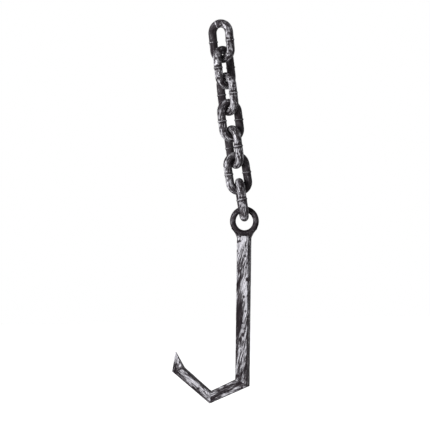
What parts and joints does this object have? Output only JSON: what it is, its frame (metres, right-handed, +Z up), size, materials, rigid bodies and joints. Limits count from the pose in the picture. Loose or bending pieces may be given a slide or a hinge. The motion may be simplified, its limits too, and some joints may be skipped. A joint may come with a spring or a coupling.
{
  "type": "meat hook on a chain",
  "caption": "Square-bar meat hook with a welded round eye and a bent, pointed arm, hung on a short chain of welded oval links.",
  "frame": {"origin": "the inner crown of the top link, on its mid-plane, where the chain hangs", "axes": "+Z up as it hangs; the hook's flat plane is XZ, its point towards -X; +Y is the hook's thickness"},
  "size_m": [0.1441, 0.0416, 0.5862],
  "materials": {
    "chain": "blackened and worn bright along the bars",
    "eye": "dark and smooth",
    "hook": "blackened, streaked with bare steel",
    "weld": "dressed weld"
  },
  "bodies": {
    "link_1": {"link_1_upper_half": "chain", "link_1_lower_half": "chain", "link_1_left_weld": "weld", "link_1_right_weld": "weld"},
    "link_2": {"link_2_upper_half": "chain", "link_2_lower_half": "chain", "link_2_left_weld": "weld", "link_2_right_weld": "weld"},
    "link_3": {"link_3_upper_half": "chain", "link_3_lower_half": "chain", "link_3_left_weld": "weld", "link_3_right_weld": "weld"},
    "link_4": {"link_4_upper_half": "chain", "link_4_lower_half": "chain", "link_4_left_weld": "weld", "link_4_right_weld": "weld"},
    "link_5": {"link_5_upper_half": "chain", "link_5_lower_half": "chain", "link_5_left_weld": "weld", "link_5_right_weld": "weld"},
    "link_6": {"link_6_upper_half": "chain", "link_6_lower_half": "chain", "link_6_left_weld": "weld", "link_6_right_weld": "weld"},
    "link_7": {"link_7_upper_half": "chain", "link_7_lower_half": "chain", "link_7_left_weld": "weld", "link_7_right_weld": "weld"},
    "hook": {"hook_eye": "eye", "hook_neck_weld": "weld", "hook_shank": "hook", "hook_heel_weld": "weld", "hook_lower_arm": "hook", "hook_toe_weld": "weld", "hook_rising_arm": "hook", "hook_point_weld": "weld", "hook_point": "hook"}
  },
  "joints": [
    {"name": "link_2_swing", "type": "hinge", "parent": "link_1", "child": "link_2", "pos_m": [0.00343, 0, -0.04778], "axis": [-0.9034, 0.4226, -0.0727], "range_deg": [-60, 60]},
    {"name": "link_3_swing", "type": "hinge", "parent": "link_2", "child": "link_3", "pos_m": [0.00668, 0, -0.08829], "axis": [0.5857, 0.809, 0.0492], "range_deg": [-60, 60]},
    {"name": "link_4_swing", "type": "hinge", "parent": "link_3", "child": "link_4", "pos_m": [0.01009, 0, -0.12879], "axis": [-0.6917, 0.7193, -0.0642], "range_deg": [-60, 60]},
    {"name": "link_5_swing", "type": "hinge", "parent": "link_4", "child": "link_5", "pos_m": [0.01384, 0, -0.16931], "axis": [0.7273, 0.682, 0.0764], "range_deg": [-60, 60]},
    {"name": "link_6_swing", "type": "hinge", "parent": "link_5", "child": "link_6", "pos_m": [0.01812, 0, -0.20998], "axis": [-0.555, 0.829, -0.0681], "range_deg": [-60, 60]},
    {"name": "link_7_swing", "type": "hinge", "parent": "link_6", "child": "link_7", "pos_m": [0.02308, 0, -0.25041], "axis": [0.927, 0.3584, 0.1105], "range_deg": [-60, 60]},
    {"name": "hook_swing", "type": "hinge", "parent": "link_7", "child": "hook", "pos_m": [0.02788, 0, -0.29067], "axis": [0, 1, 0], "range_deg": [-60, 60]}
  ]
}
